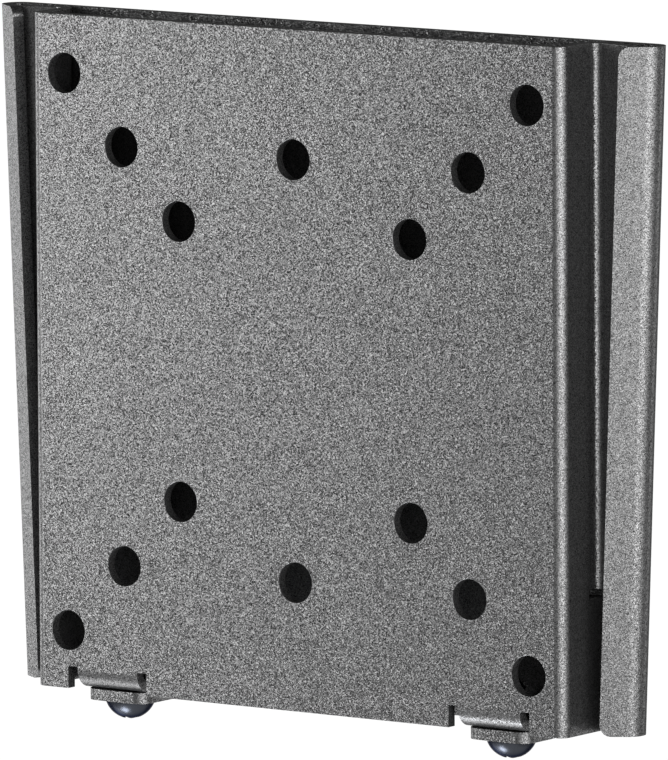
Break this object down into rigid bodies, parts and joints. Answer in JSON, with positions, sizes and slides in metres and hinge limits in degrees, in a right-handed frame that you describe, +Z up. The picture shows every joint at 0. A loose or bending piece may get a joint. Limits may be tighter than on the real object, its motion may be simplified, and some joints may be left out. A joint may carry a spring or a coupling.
{
  "type": "low-profile wall mount for a small television",
  "caption": "Flat steel wall mount for a small television: a TV plate with folded wings slides down into a tapering wall plate and is locked by screws from below",
  "frame": {"origin": "centre of the wall plate's rear face, which lies on the wall", "axes": "+Y points into the wall, +Z is up, +X points to the right of someone who looks at the wall; the television is on the -Y side"},
  "size_m": [0.1424, 0.0142, 0.1266],
  "materials": {
    "powder_coat": "dark silver metallic powder coat with a fine sparkle",
    "black_screw": "glossy black"
  },
  "bodies": {
    "root": {"wall_plate": "powder_coat", "tv_plate": "powder_coat", "security_screw_left": "black_screw", "security_screw_right": "black_screw"}
  },
  "joints": []
}
